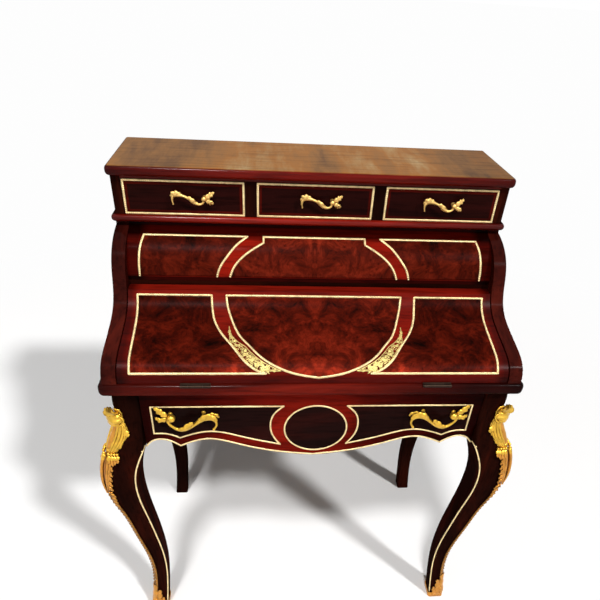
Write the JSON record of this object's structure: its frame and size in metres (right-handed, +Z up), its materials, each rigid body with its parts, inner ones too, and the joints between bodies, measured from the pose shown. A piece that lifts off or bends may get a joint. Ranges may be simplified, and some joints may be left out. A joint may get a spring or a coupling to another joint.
{
  "type": "bonheur du jour",
  "caption": "Small writing desk on cabriole legs: curved fall flap over pigeonholes, a row of small drawers above, a scalloped frieze drawer below, brass stringing and gilt mounts.",
  "frame": {"origin": "on the floor, at the middle of the overall width and depth", "axes": "+X to the desk's right as seen from the front, +Y towards its back, +Z up; the front looks along -Y"},
  "size_m": [0.8756, 0.4802, 1.094],
  "materials": {
    "mahogany": "high-gloss french polish over red mahogany",
    "dark_mahogany": "high-gloss polish over dark stained mahogany",
    "burr_veneer": "high-gloss polish over dark red burr veneer",
    "inner_timber": "satin, lightly sealed",
    "brass_inlay": "polished pale brass with a fine beaded line",
    "gilt_bronze": "burnished gilding over cast and chased metal",
    "hinge_brass": "dull, toned brass",
    "steel_screws": "satin",
    "leather": "dark red, soft sheen"
  },
  "bodies": {
    "carcass": {"back_apron": "mahogany", "back_panel": "inner_timber", "case_rail": "mahogany", "desk_board": "mahogany", "drawer_runners": "inner_timber", "flap_stop_rail": "mahogany", "frieze_rail": "mahogany", "hinge_board_leaves": "hinge_brass", "hinge_board_screws": "steel_screws", "hinge_pins": "hinge_brass", "left_apron": "mahogany", "left_arris_mount": "gilt_bronze", "left_case_divider": "inner_timber", "left_case_side": "mahogany", "left_front_leg": "dark_mahogany", "left_knee_mount": "gilt_bronze", "left_leg_string": "brass_inlay", "left_partition": "inner_timber", "left_rear_leg": "dark_mahogany", "left_sabot": "gilt_bronze", "left_side_panel": "mahogany", "pigeonhole_ceiling": "inner_timber", "right_apron": "mahogany", "right_arris_mount": "gilt_bronze", "right_case_divider": "inner_timber", "right_case_side": "mahogany", "right_front_leg": "dark_mahogany", "right_knee_mount": "gilt_bronze", "right_leg_string": "brass_inlay", "right_partition": "inner_timber", "right_rear_leg": "dark_mahogany", "right_sabot": "gilt_bronze", "right_side_panel": "mahogany", "top_board": "mahogany", "upper_panel": "burr_veneer", "upper_panel_stringing": "brass_inlay", "waist_board": "mahogany"},
    "flap": {"flap": "burr_veneer", "flap_filigree": "brass_inlay", "flap_leather": "leather", "flap_stringing": "brass_inlay", "hinge_flap_leaves": "hinge_brass", "hinge_flap_screws": "steel_screws"},
    "frieze_drawer": {"frieze_drawer_box": "inner_timber", "frieze_drawer_front": "burr_veneer", "frieze_stringing": "brass_inlay", "left_frieze_handle": "gilt_bronze", "right_frieze_handle": "gilt_bronze"},
    "left_drawer": {"left_drawer_beading": "brass_inlay", "left_drawer_box": "inner_timber", "left_drawer_front": "burr_veneer", "left_drawer_handle": "gilt_bronze"},
    "middle_drawer": {"middle_drawer_beading": "brass_inlay", "middle_drawer_box": "inner_timber", "middle_drawer_front": "burr_veneer", "middle_drawer_handle": "gilt_bronze"},
    "right_drawer": {"right_drawer_beading": "brass_inlay", "right_drawer_box": "inner_timber", "right_drawer_front": "burr_veneer", "right_drawer_handle": "gilt_bronze"}
  },
  "joints": [
    {"name": "flap_hinge", "type": "hinge", "parent": "carcass", "child": "flap", "pos_m": [0, -0.22387, 0.77233], "axis": [1, 0, 0], "range_deg": [0, 159]},
    {"name": "frieze_drawer_slide", "type": "slide", "parent": "carcass", "child": "frieze_drawer", "axis": [0, -1, 0], "range_m": [0, 0.28]},
    {"name": "left_drawer_slide", "type": "slide", "parent": "carcass", "child": "left_drawer", "axis": [0, -1, 0], "range_m": [0, 0.12]},
    {"name": "middle_drawer_slide", "type": "slide", "parent": "carcass", "child": "middle_drawer", "axis": [0, -1, 0], "range_m": [0, 0.12]},
    {"name": "right_drawer_slide", "type": "slide", "parent": "carcass", "child": "right_drawer", "axis": [0, -1, 0], "range_m": [0, 0.12]}
  ]
}
